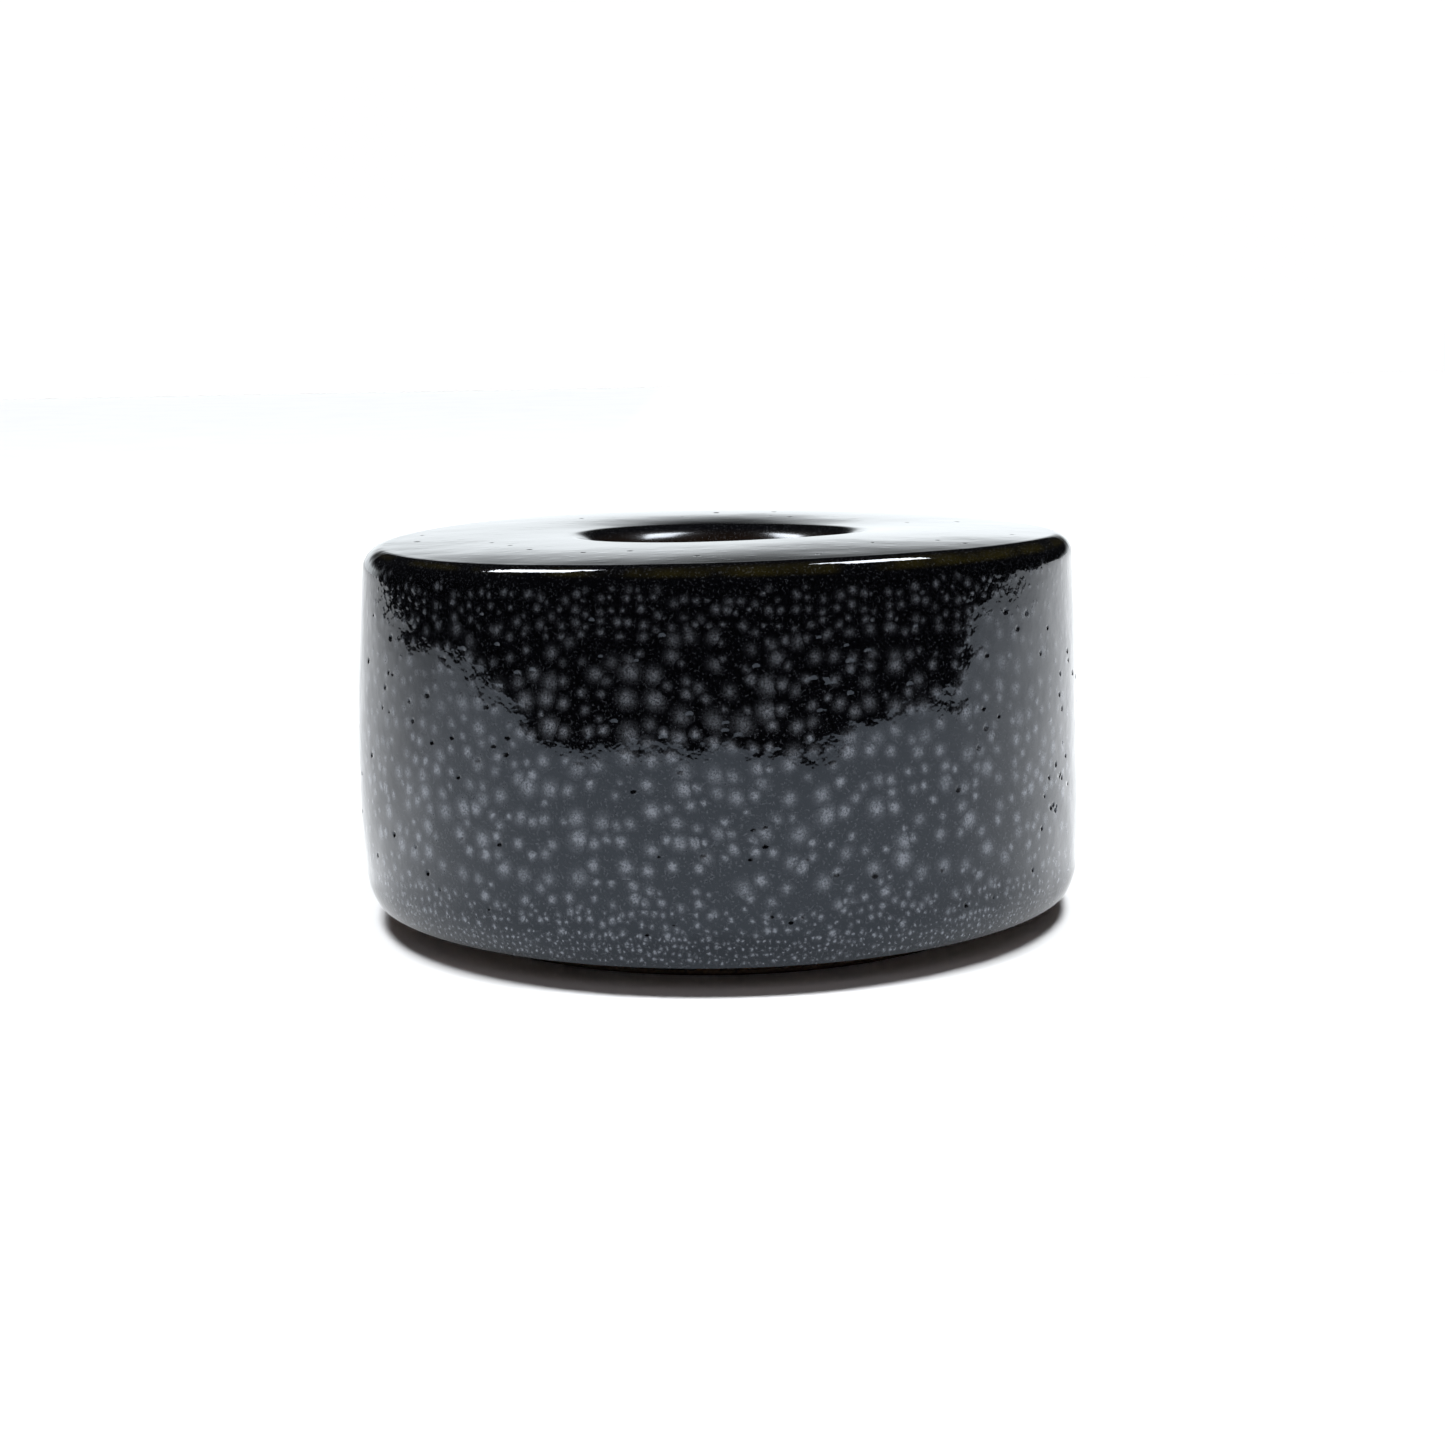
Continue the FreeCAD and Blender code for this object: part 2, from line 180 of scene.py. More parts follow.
def ring_points(line, around):
    """Rings of points turned round the axis from a line of (radius, height)."""
    turn = np.arange(around) * (2 * math.pi / around)
    radius = np.array([p[0] for p in line])
    height = np.array([p[1] for p in line])
    x = radius[:, None] * np.sin(turn)
    y = -radius[:, None] * np.cos(turn)
    z = np.repeat(height[:, None], around, axis=1)
    return np.stack([x, y, z], axis=2)


def ring_normals(line, around):
    """Outward normals of those rings, for a line that runs anticlockwise."""
    path = np.array(line)
    along = np.gradient(path, axis=0)
    along /= np.linalg.norm(along, axis=1)[:, None]
    turn = np.arange(around) * (2 * math.pi / around)
    out = along[:, 1]
    up = -along[:, 0]
    x = out[:, None] * np.sin(turn)
    y = -out[:, None] * np.cos(turn)
    z = np.repeat(up[:, None], around, axis=1)
    return np.stack([x, y, z], axis=2)


def mesh_piece(name, points, faces):
    mesh = bpy.data.meshes.new(name)
    mesh.from_pydata(points.tolist(), [], faces)
    mesh.validate()
    mesh.shade_smooth()
    mesh.set_sharp_from_angle(angle=math.radians(60))
    piece = bpy.data.objects.new(name, mesh)
    bpy.context.scene.collection.objects.link(piece)
    return piece


def quads(rows, around, closed):
    """Faces between rings, and from the last ring to the first one if closed."""
    faces = []
    for row in range(rows if closed else rows - 1):
        low = row * around
        high = (row + 1) % rows * around
        for column in range(around):
            side = (column + 1) % around
            faces.append((low + column, low + side, high + side, high + column))
    return faces


def turned(name, line, around):
    """A closed turned piece from its half-section. Ends on the axis become points."""
    on_axis = line[0][0] < 1e-9
    inner = line[1:-1] if on_axis else line
    rings = ring_points(inner, around).reshape(-1, 3)
    faces = quads(len(inner), around, closed=not on_axis)
    if on_axis:
        poles = np.array([[0, 0, line[0][1]], [0, 0, line[-1][1]]])
        base = len(rings)
        last = (len(inner) - 1) * around
        for column in range(around):
            side = (column + 1) % around
            faces.append((base, side, column))
            faces.append((last + column, last + side, base + 1))
        rings = np.concatenate([rings, poles])
    return mesh_piece(name, lean(rings), faces)


# ---------------------------------------------------------------- pieces of the jar

AROUND = 400
AROUND_UNSEEN = 240
FINE = 0.7 * MM
COARSE = 4.0 * MM

# The outer coat's waves: (wavelength, height, seed). The top is calmer than the wall.
WAVES = ((22 * MM, 0.050 * MM, 11), (8 * MM, 0.014 * MM, 12))
TOP_CALM = 0.8
CALM_FROM = 50 * MM
CALM_RISE = 6 * MM
STILL_RINGS = 6.0

CHAMBER_RADIUS = 48.8 * MM
COVE_RISE = 6.0 * MM
COVE_REACH = 5.0 * MM
RIM_COVE = 4.0 * MM
UNDERSIDE = ARRIS_HEIGHT + BASE_COAT
FOOT_RADIUS = 43.0 * MM
FOOT_INNER = 37.8 * MM
FOOT_EDGE = 0.5 * MM
FOOT_RISE = 1.2 * MM
FOOT_REACH = 1.0 * MM
FOOT_BARE = 0.9 * MM
RECESS_HEIGHT = 6.4 * MM
RECESS_COVE = 1.6 * MM

SINGLE_HOLES = 210
HOLE_CLUSTERS = 12
TOP_HOLES = 22
HOLE_RIM = 0.5 * MM


def pinholes():
    """Where gas broke through the wall's glaze: (turn from the front, height, radius, depth)."""
    random = np.random.RandomState(71)
    holes = []
    for _ in range(SINGLE_HOLES):
        holes.append((random.uniform(-math.pi, math.pi), random.uniform(9, 52) * MM,
                      random.uniform(0.22, 0.52) * MM, random.uniform(0.16, 0.36) * MM))
    for _ in range(HOLE_CLUSTERS):
        turn = random.uniform(-math.pi, math.pi)
        height = random.uniform(16, 46) * MM
        for _ in range(random.randint(3, 7)):
            holes.append((turn + random.normal() * 0.045, height + random.normal() * 2.6 * MM,
                          random.uniform(0.22, 0.5) * MM, random.uniform(0.2, 0.4) * MM))
    return holes


def wall_radius(height):
    return DRUM_RADIUS - BELLY_CURVE + math.sqrt(BELLY_CURVE ** 2 - (height - BELLY_HEIGHT) ** 2)


def hole_places():
    """The same holes as points on the leaning jar, with a few more on its top."""
    places = []
    for turn, height, radius, depth in pinholes():
        out = wall_radius(height)
        places.append(((out * math.sin(turn), -out * math.cos(turn), height), radius, depth))
    random = np.random.RandomState(5)
    for _ in range(TOP_HOLES):
        turn = random.uniform(-math.pi, math.pi)
        out = random.uniform(32, 49) * MM
        rise = CREST_HEIGHT - (out - CREST_RADIUS) ** 2 / (2 * DOME_CURVE)
        places.append(((out * math.sin(turn), -out * math.cos(turn), rise),
                       random.uniform(0.2, 0.45) * MM, random.uniform(0.1, 0.25) * MM))
    points = lean(np.array([place[0] for place in places]))
    return [(Vector(point), place[1], place[2]) for point, place in zip(points, places)]


def dig(piece, holes):
    """Cuts the mesh finer round each pinhole and pushes a round pit into it."""
    form = bmesh.new()
    form.from_mesh(piece.data)
    form.faces.ensure_lookup_table()
    tree = KDTree(len(form.faces))
    for index, face in enumerate(form.faces):
        tree.insert(face.calc_center_median(), index)
    tree.balance()
    near = set()
    for place, radius, _ in holes:
        near.update(index for _, index, _ in tree.find_range(place, radius + HOLE_RIM))
    edges = {edge for index in near for edge in form.faces[index].edges}
    bmesh.ops.subdivide_edges(form, edges=list(edges), cuts=3, use_grid_fill=True)
    form.normal_update()
    form.verts.ensure_lookup_table()
    tree = KDTree(len(form.verts))
    for index, vertex in enumerate(form.verts):
        tree.insert(vertex.co, index)
    tree.balance()
    moves = {}
    for place, radius, depth in holes:
        facing = form.verts[tree.find(place)[1]].normal.copy()
        if facing.dot(place - Vector((0, 0, place.z * 0.5))) < 0:
            facing.negate()
        for _, index, gap in tree.find_range(place, radius):
            vertex = form.verts[index]
            if vertex.normal.dot(facing) > 0.3:
                bowl = depth * 0.5 * (1 + math.cos(math.pi * (gap / radius) ** 1.4))
                moves[index] = max(moves.get(index, 0), bowl)
    inward = {index: form.verts[index].normal * -bowl for index, bowl in moves.items()}
    for index, push in inward.items():
        form.verts[index].co += push
    form.normal_update()
    form.to_mesh(piece.data)
    form.free()


def outer_glaze():
    """The thick outside coat, with its waves and pinholes in the mesh."""
    front = outer_line(0, (ARRIS_RADIUS, ARRIS_HEIGHT), FINE)
    back = outer_line(COAT, (ARRIS_RADIUS - COAT, UNDERSIDE), COARSE)[::-1]
    rings = ring_points(front, AROUND)
    normals = ring_normals(front, AROUND)
    flat = rings.reshape(-1, 3)
    swell = sum(ripple(flat, *wave) for wave in WAVES)
    calm = 1 - TOP_CALM * np.clip((flat[:, 2] - CALM_FROM) / CALM_RISE, 0, 1)
    swell = (swell * calm).reshape(rings.shape[:2])
    place = np.arange(len(front))
    ends = np.minimum(1, np.minimum(place, place[::-1]) / STILL_RINGS)
    rings = rings + normals * (swell * ends[:, None])[:, :, None]
    points = np.concatenate([rings.reshape(-1, 3), ring_points(back, AROUND).reshape(-1, 3)])
    faces = quads(len(front) + len(back), AROUND, closed=True)
    piece = mesh_piece("oil_spot_glaze_coat", lean(points), faces)
    dig(piece, hole_places())
    return piece


def chamber_line(depth, step):
    """The chamber from the middle of its floor to the inside of the collar's edge."""
    floor = FLOOR_HEIGHT + depth
    radius = CHAMBER_RADIUS - depth
    curve = (COVE_RISE ** 2 + COVE_REACH ** 2) / (2 * COVE_REACH)
    low = (CHAMBER_RADIUS - curve, FLOOR_HEIGHT + COVE_RISE)
    foot = angle_to(low, (CHAMBER_RADIUS - COVE_REACH, FLOOR_HEIGHT))
    if depth:
        curve = COVE_RISE - depth
        low = (radius - curve, floor + curve)
        foot = -math.pi / 2
    ceiling = CREST_HEIGHT - COAT - PLATE - depth
    corner = RIM_COVE - depth
    high = (radius - corner, ceiling - corner)
    collar = THROAT_RADIUS + COAT + PLATE + depth
    bend = CREST_RADIUS - collar
    turn = (CREST_RADIUS, ceiling - bend)
    edge = (THROAT_RADIUS + COAT + PLATE / 2, THROAT_LOW)
    return chain(
        straight((0, floor), (low[0] + curve * math.cos(foot), floor), step),
        arc(low, curve, foot, 0, step / 2),
        straight((radius, low[1]), (radius, high[1]), step),
        arc(high, corner, 0, math.pi / 2, step / 2),
        straight((high[0], ceiling), (turn[0], ceiling), step),
        arc(turn, bend, math.pi / 2, math.pi, step / 2),
        straight((collar, turn[1]), (collar, THROAT_LOW), step),
        arc(edge, PLATE / 2 + depth, 0, -math.pi, step / 2))


def liner_glaze():
    """The coat of the chamber, closed on itself between its two sides."""
    step = 1.6 * MM
    clay = chamber_line(0, step)
    coat = chamber_line(COAT, step)[::-1]
    return turned("liner_glaze_coat", clay + coat, AROUND_UNSEEN)


def cove(radius, height, rise, reach, step):
    """A small concave curve from an upright face out to a face above it."""
    curve = (rise ** 2 + reach ** 2) / (2 * reach)
    centre = (radius + curve, height - rise)
    return arc(centre, curve, math.pi, angle_to(centre, (radius + reach, height)), step)


def foot_ring():
    """The bare clay ring with its two rounded edges."""
    edge = FOOT_EDGE
    step = 0.25 * MM
    line = chain(
        straight((FOOT_INNER, UNDERSIDE), (FOOT_INNER, edge), 1.0 * MM),
        arc((FOOT_INNER + edge, edge), edge, math.pi, 1.5 * math.pi, step),
        straight((FOOT_INNER + edge, 0), (FOOT_RADIUS - edge, 0), 0.8 * MM),
        arc((FOOT_RADIUS - edge, edge), edge, -math.pi / 2, 0, step),
        straight((FOOT_RADIUS, edge), (FOOT_RADIUS, UNDERSIDE - FOOT_RISE), 1.0 * MM),
        cove(FOOT_RADIUS, UNDERSIDE, FOOT_RISE, FOOT_REACH, step))
    return turned("foot_ring_clay", line, AROUND)


def underside_glaze():
    """The thin coat from the arris in to the foot ring and down its outside."""
    step = 0.2 * MM
    clay = cove(FOOT_RADIUS, UNDERSIDE, FOOT_RISE, FOOT_REACH, step)[::-1]
    coat = cove(FOOT_RADIUS + BASE_COAT, ARRIS_HEIGHT, FOOT_RISE - BASE_COAT,
                FOOT_REACH - BASE_COAT, step)
    line = chain(
        [(ARRIS_RADIUS, ARRIS_HEIGHT)],
        straight((ARRIS_RADIUS - COAT, UNDERSIDE), clay[0], 1.5 * MM),
        clay,
        straight(clay[-1], (FOOT_RADIUS, FOOT_BARE), 0.6 * MM),
        straight((FOOT_RADIUS + BASE_COAT, FOOT_BARE), coat[0], 0.6 * MM),
        coat,
        straight(coat[-1], (ARRIS_RADIUS, ARRIS_HEIGHT), 0.8 * MM)[:-1])
    return turned("underside_glaze_coat", line, AROUND)


def recess_glaze():
    """The thin coat of the recess inside the foot ring."""
    inner = FOOT_INNER - BASE_COAT
    low = RECESS_HEIGHT - BASE_COAT
    centre = (FOOT_INNER - RECESS_COVE, RECESS_HEIGHT - RECESS_COVE)
    line = chain(
        straight((0, low), (centre[0], low), 1.5 * MM),
        arc(centre, RECESS_COVE - BASE_COAT, math.pi / 2, 0, 0.3 * MM),
        straight((inner, centre[1]), (inner, FOOT_BARE), 0.8 * MM),
        straight((FOOT_INNER, FOOT_BARE), (FOOT_INNER, centre[1]), 0.8 * MM),
        arc(centre, RECESS_COVE, 0, math.pi / 2, 0.3 * MM),
        straight((centre[0], RECESS_HEIGHT), (0, RECESS_HEIGHT), 1.5 * MM))
    return turned("recess_glaze_coat", line, AROUND_UNSEEN)


def leaning_clay(node):
    """A clay piece that the glaze hides: the CAD shape with the jar's lean."""
    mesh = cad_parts[node].data.copy()
    mesh.name = node + "_clay"
    points = np.array([vertex.co for vertex in mesh.vertices])
    mesh.vertices.foreach_set("co", lean(points).ravel())
    mesh.materials.clear()
    mesh.update()
    piece = bpy.data.objects.new(node + "_clay", mesh)
    bpy.context.scene.collection.objects.link(piece)
    return piece


# ---------------------------------------------------------------- node trees

class Nodes:
    """Short calls that add nodes to a tree. Lengths are in metres."""

    def __init__(self, tree):
        self.tree = tree

    def put(self, socket, value):
        """Links a value that comes from a node, and sets any other."""
        if isinstance(value, bpy.types.NodeSocket):
            self.tree.links.new(value, socket)
        else:
            socket.default_value = value

    def node(self, kind, settings=(), **inputs):
        made = self.tree.nodes.new(kind)
        for key, value in dict(settings).items():
            setattr(made, key, value)
        for key, value in inputs.items():
            self.put(made.inputs[key.replace("_", " ")], value)
        return made

    def math(self, operation, *values):
        made = self.node("ShaderNodeMath", {"operation": operation})
        for socket, value in zip(made.inputs, values):
            self.put(socket, value)
        return made.outputs["Value"]

    def vector(self, operation, *values):
        made = self.node("ShaderNodeVectorMath", {"operation": operation})
        for socket, value in zip(made.inputs, values):
            self.put(socket, value)
        return made.outputs["Value" if operation == "LENGTH" else "Vector"]

    def remap(self, value, low, high, to_low=0.0, to_high=1.0, smooth=True):
        made = self.node("ShaderNodeMapRange",
                         {"interpolation_type": "SMOOTHSTEP" if smooth else "LINEAR"},
                         Value=value, From_Min=low, From_Max=high, To_Min=to_low, To_Max=to_high)
        return made.outputs["Result"]

    def mix(self, factor, first, second):
        made = self.node("ShaderNodeMix", {"data_type": "RGBA"}, Factor=factor, A=first, B=second)
        return made.outputs["Result"]


class Recipe(Nodes):
    """A node material written as short calls."""

    def __init__(self, name):
        self.material = bpy.data.materials.new(name)
        self.material.use_nodes = True
        super().__init__(self.material.node_tree)
        self.shader = self.tree.nodes["Principled BSDF"]
        self.coordinates = self.node("ShaderNodeTexCoord").outputs["Object"]

    def noise(self, size, detail=2.0, roughness=0.5, where=None):
        """Noise between 0 and 1 with features of about the given size."""
        made = self.node("ShaderNodeTexNoise", Vector=where or self.coordinates,
                         Scale=1.0 / size, Detail=detail, Roughness=roughness)
        return made.outputs["Fac"]

    def height(self, where=None):
        parts = self.node("ShaderNodeSeparateXYZ", Vector=where or self.coordinates)
        return parts.outputs["Z"]

    def relief(self, height):
        """Bump from a height in metres."""
        made = self.node("ShaderNodeBump", Strength=1.0, Distance=1.0, Height=height)
        self.put(self.shader.inputs["Normal"], made.outputs["Normal"])

    def set(self, **inputs):
        for key, value in inputs.items():
            self.put(self.shader.inputs[key.replace("_", " ")], value)
        return self.material


# ---------------------------------------------------------------- oil spots

# The wall's spots come in two layers, which take turns near its edges and overlap in its
# middle. A band of a layer is (low, high, spacing) in millimetres. The top has a layer of
# its own, and EVERYWHERE is a reach in metres that takes in all of it.
FIRST_LAYER = ((4.6, 8.4, 0.95), (11.0, 15.0, 2.3), (18.4, 49.4, 2.8))
SECOND_LAYER = ((8.0, 11.4, 1.5), (14.8, 44.8, 3.75), (48.6, 55.4, 1.9))
TOP_LAYER = ((-60, 60, 3.6),)
EVERYWHERE = 1.0

# How far spots stray from a grid, the ranges of their size and brightness, and how many
# spacings away a spot of the other layer has to be.
SPOT_JITTER = 0.73
SPOT_SIZES = (0.52, 1.22)
SPOT_LIGHT = (0.5, 1.1)
CROWDED = 0.44

# Each part of a spot: where it starts to fade, where it has gone, and its brightness.
CORE = (0.02, 0.32, 0.70)
HALO = (0.12, 0.56, 0.30)

# One noise makes the spots' outlines ragged, another makes the bands stray up and down.
# For each, the size of its features and the whole range of its push.
RAGGED = 1.0 * MM
RAGGED_BY = 0.8 * MM
STRAY = 26 * MM
STRAY_BY = 7 * MM

# Heights between which that straying sets in, and fades out again.
STRAY_FROM = (4 * MM, 14 * MM)
STRAY_TO = (40 * MM, 55 * MM)

# Two charts unroll the wall. They meet at this turn from the front, in radians.
CHART_END = 2.1

# Distances from the axis over which the spots of the wall and the top come and go.
WALL_SPOTS_FROM = (40 * MM, 46 * MM)
TOP_SPOTS_FROM = (27 * MM, 31 * MM)
TOP_SPOTS_TO = (46 * MM, 50 * MM)
TOP_SPOTS = 0.4
TOP_LEVEL = 50 * MM


def wall_chart(recipe, turned_back):
    """Unrolls the wall: x is the way round in metres from the front, or from the back."""
    parts = recipe.node("ShaderNodeSeparateXYZ", Vector=recipe.coordinates)
    side = -1.0 if turned_back else 1.0
    across = recipe.math("MULTIPLY", parts.outputs["X"], side)
    ahead = recipe.math("MULTIPLY", parts.outputs["Y"], -side)
    round_way = recipe.math("MULTIPLY", recipe.math("ARCTAN2", across, ahead), DRUM_RADIUS)
    chart = recipe.node("ShaderNodeCombineXYZ", X=round_way, Y=parts.outputs["Z"],
                        Z=parts.outputs["Z"])
    return chart.outputs["Vector"]


def within(recipe, value, bands):
    """1 where the value lies in one of the bands, else 0."""
    total = 0.0
    for low, high, _ in bands:
        over = recipe.math("GREATER_THAN", value, low * MM)
        under = recipe.math("LESS_THAN", value, high * MM)
        total = recipe.math("ADD", total, recipe.math("MULTIPLY", over, under))
    return total


def layer_spacing(recipe, rise, layer):
    """The layer's spacing at a height. It changes between bands, where no spot reaches."""
    spacing = layer[0][2] * MM
    for (_, ends, below), (starts, _, above) in zip(layer, layer[1:]):
        edge = ends + (starts - ends) * below / (below + above)
        past = recipe.math("GREATER_THAN", rise, edge * MM)
        spacing = recipe.math("ADD", recipe.math("MULTIPLY", past, (above - below) * MM), spacing)
    return spacing


def uncrowded(recipe, place, rivals):
    """0 where a place is close to the middle of a spot in a band of rivals, else 1."""
    spacing = rivals[2] * MM
    rival = recipe.node("ShaderNodeTexVoronoi", {"voronoi_dimensions": "2D"}, Vector=place,
                        Scale=1.0 / spacing, Randomness=SPOT_JITTER)
    parts = recipe.node("ShaderNodeSeparateXYZ", Vector=place)
    close = recipe.math("LESS_THAN", rival.outputs["Distance"], CROWDED)
    close = recipe.math("MULTIPLY", close, within(recipe, parts.outputs["Y"], (rivals,)))
    return recipe.math("SUBTRACT", 1.0, close)


def spot_field(recipe, chart, reach, layer, rivals=None):
    """Soft round spots on a chart, one per cell, each with a bright core and a faint halo.

    A spot is kept where its own middle lies within reach across the chart and in one of
    the layer's bands, so no spot is ever cut in two. Where a band of rivals is given, a
    spot is left out if its middle is close to the middle of one of the rivals.
    """
    spacing = layer_spacing(recipe, recipe.height(chart), layer)
    cell = recipe.node("ShaderNodeTexVoronoi", {"voronoi_dimensions": "2D"}, Vector=chart,
                       Scale=recipe.math("DIVIDE", 1.0, spacing), Randomness=SPOT_JITTER)
    middle = recipe.node("ShaderNodeSeparateXYZ", Vector=cell.outputs["Position"])
    dice = recipe.node("ShaderNodeSeparateColor", Color=cell.outputs["Color"])
    near = recipe.math("LESS_THAN", recipe.math("ABSOLUTE", middle.outputs["X"]), reach)
    keep = recipe.math("MULTIPLY", within(recipe, middle.outputs["Y"], layer), near)
    if rivals:
        alone = uncrowded(recipe, cell.outputs["Position"], rivals)
        keep = recipe.math("MULTIPLY", keep, alone)
    size = recipe.remap(dice.outputs["Red"], 0.0, 1.0, *SPOT_SIZES, smooth=False)
    light = recipe.remap(dice.outputs["Green"], 0.0, 1.0, *SPOT_LIGHT, smooth=False)
    gap = recipe.math("DIVIDE", cell.outputs["Distance"], size)
    both = recipe.math("ADD", recipe.remap(gap, *CORE, 0.0), recipe.remap(gap, *HALO, 0.0))
    return recipe.math("MULTIPLY", recipe.math("MULTIPLY", both, light), keep)


def wall_spots(recipe, turned_back, reach, shift):
    """Spots that grow from both edges of the wall to its middle, on one chart."""
    chart = recipe.vector("ADD", wall_chart(recipe, turned_back), shift)
    small = spot_field(recipe, chart, reach, FIRST_LAYER, SECOND_LAYER[1])
    large = spot_field(recipe, chart, reach, SECOND_LAYER)
    return recipe.math("MAXIMUM", small, large)


def stray(recipe):
    """How far the bands of spots stray up or down, which is nothing at the wall's edges."""
    level = recipe.vector("MULTIPLY", recipe.coordinates, (1, 1, 0))
    wander = recipe.math("SUBTRACT", recipe.noise(STRAY, 1.0, where=level), 0.5)
    rising = recipe.remap(recipe.height(), *STRAY_FROM, 0.0, STRAY_BY, smooth=False)
    falling = recipe.remap(recipe.height(), *STRAY_TO, 1.0, 0.0, smooth=False)
    return recipe.math("MULTIPLY", wander, recipe.math("MULTIPLY", rising, falling))


def all_spots(recipe, out):
    """Where there are spots on the jar, from 0 to 1. The throat has none."""
    ragged = recipe.node("ShaderNodeTexNoise", Vector=recipe.coordinates, Scale=1.0 / RAGGED,
                         Detail=3.0, Roughness=0.6)
    centred = recipe.vector("SUBTRACT", ragged.outputs["Color"], (0.5, 0.5, 0.5))
    shift = recipe.vector("MULTIPLY", centred, (RAGGED_BY, RAGGED_BY, 0.0))
    drift = recipe.node("ShaderNodeCombineXYZ", Y=stray(recipe))
    drift = recipe.vector("ADD", shift, drift.outputs["Vector"])
    front = wall_spots(recipe, False, CHART_END * DRUM_RADIUS, drift)
    back = wall_spots(recipe, True, (math.pi - CHART_END) * DRUM_RADIUS, drift)
    walls = recipe.math("MULTIPLY", recipe.math("MAXIMUM", front, back),
                        recipe.remap(out, *WALL_SPOTS_FROM))
    plan = recipe.vector("ADD", recipe.coordinates, shift)
    top = spot_field(recipe, plan, EVERYWHERE, TOP_LAYER)
    ring = recipe.math("MULTIPLY", recipe.remap(out, *TOP_SPOTS_TO, TOP_SPOTS, 0.0),
                       recipe.remap(out, *TOP_SPOTS_FROM))
    ring = recipe.math("MULTIPLY", ring,
                       recipe.math("GREATER_THAN", recipe.height(), TOP_LEVEL))
    return recipe.math("MAXIMUM", walls, recipe.math("MULTIPLY", ring, top))


# ---------------------------------------------------------------- materials

BLACK_GLAZE = (0.0010, 0.0010, 0.0014, 1)
# The olive colour is a painted reflection of the room, laid on the shoulder as base colour.
OLIVE_REFLECTION = (0.009, 0.0075, 0.002, 1)
THROAT_BROWN = (0.008, 0.004, 0.0015, 1)
SPOT_GREY = (0.168, 0.180, 0.202, 1)
IRON_BLACK = (0.01, 0.01, 0.01, 1)

WALL_ROUGHNESS = 0.045
THROAT_ROUGHNESS = 0.17
GLAZE_INDEX = 1.41
GLAZE_TINT = (0.76, 0.86, 1.0, 1)

# Heights, or distances from the axis, over which the glaze changes.
# The first two ranges place the painted olive reflection on the shoulder band.
OLIVE_REFLECTION_HEIGHT = (56.5 * MM, 57.2 * MM)
OLIVE_REFLECTION_RADIUS = (51 * MM, 53 * MM)
BROWN_RADIUS = (17.5 * MM, 21 * MM)
SATIN_RADIUS = (19 * MM, 26 * MM)
CALM_RADIUS = (49 * MM, 53 * MM)
FAINT_HEIGHT = (20 * MM, 50 * MM)

# Bumps of the glaze, in height: its small and large waves, and each spot's swelling.
SMALL_WAVES = 0.032 * MM
LARGE_WAVES = 0.034 * MM
SPOT_SWELL = 0.012 * MM


def glaze_ground(recipe, out):
    """Black, with an olive painted reflection of the room on the shoulder, and a brown throat."""
    # The olive patches on the shoulder are a painted reflection of the room, broken up by noise.
    thin = recipe.math("MULTIPLY", recipe.remap(recipe.height(), *OLIVE_REFLECTION_HEIGHT),
                       recipe.remap(out, *OLIVE_REFLECTION_RADIUS))
    thin = recipe.math("MULTIPLY", thin, recipe.remap(recipe.noise(9 * MM, 3.0), 0.35, 0.6))
    ground = recipe.mix(thin, BLACK_GLAZE, OLIVE_REFLECTION)
    throat = recipe.remap(out, *BROWN_RADIUS, 0.8, 0.0)
    return recipe.mix(throat, ground, THROAT_BROWN)


def oil_spot_material():
    """Glossy black glaze with grey oil spots that shrink towards both edges."""
    recipe = Recipe("oil_spot_glaze")
    level = recipe.vector("MULTIPLY", recipe.coordinates, (1, 1, 0))
    out = recipe.vector("LENGTH", level)
    spots = all_spots(recipe, out)
    mottle = recipe.remap(recipe.noise(0.3 * MM, 3.0, 0.8), 0.38, 0.62, 0.35, 1.7, smooth=False)
    dust = recipe.remap(recipe.noise(0.36 * MM, 2.0, 0.6), 0.54, 0.72, 0.0, 0.30)
    strength = recipe.math("MAXIMUM", recipe.math("MULTIPLY", spots, mottle), dust)
    faint = recipe.remap(recipe.height(), *FAINT_HEIGHT, 0.85, 0.28)
    strength = recipe.math("MULTIPLY", strength, faint)
    colour = recipe.mix(strength, glaze_ground(recipe, out), SPOT_GREY)
    small = recipe.math("MULTIPLY", recipe.noise(1.8 * MM, 2.0), SMALL_WAVES)
    large = recipe.math("MULTIPLY", recipe.noise(4.0 * MM, 1.0), LARGE_WAVES)
    calm = recipe.remap(out, *CALM_RADIUS, 0.10, 1.0)
    waves = recipe.math("MULTIPLY", recipe.math("ADD", small, large), calm)
    swell = recipe.math("MULTIPLY", spots, SPOT_SWELL)
    recipe.relief(recipe.math("ADD", waves, swell))
    rough = recipe.remap(out, *SATIN_RADIUS, THROAT_ROUGHNESS, WALL_ROUGHNESS)
    return recipe.set(Base_Color=colour, Roughness=rough, IOR=GLAZE_INDEX,
                      Specular_Tint=GLAZE_TINT)


def brown_glaze_material(name, dark, light, size):
    """Thin iron glaze, blacker where it pooled and browner where it ran thin."""
    recipe = Recipe(name)
    pool = recipe.remap(recipe.noise(size, 3.0), 0.35, 0.7)
    recipe.relief(recipe.math("MULTIPLY", recipe.noise(3.0 * MM, 2.0), 0.05 * MM))
    return recipe.set(Base_Color=recipe.mix(pool, dark, light), Roughness=0.09, IOR=1.52)


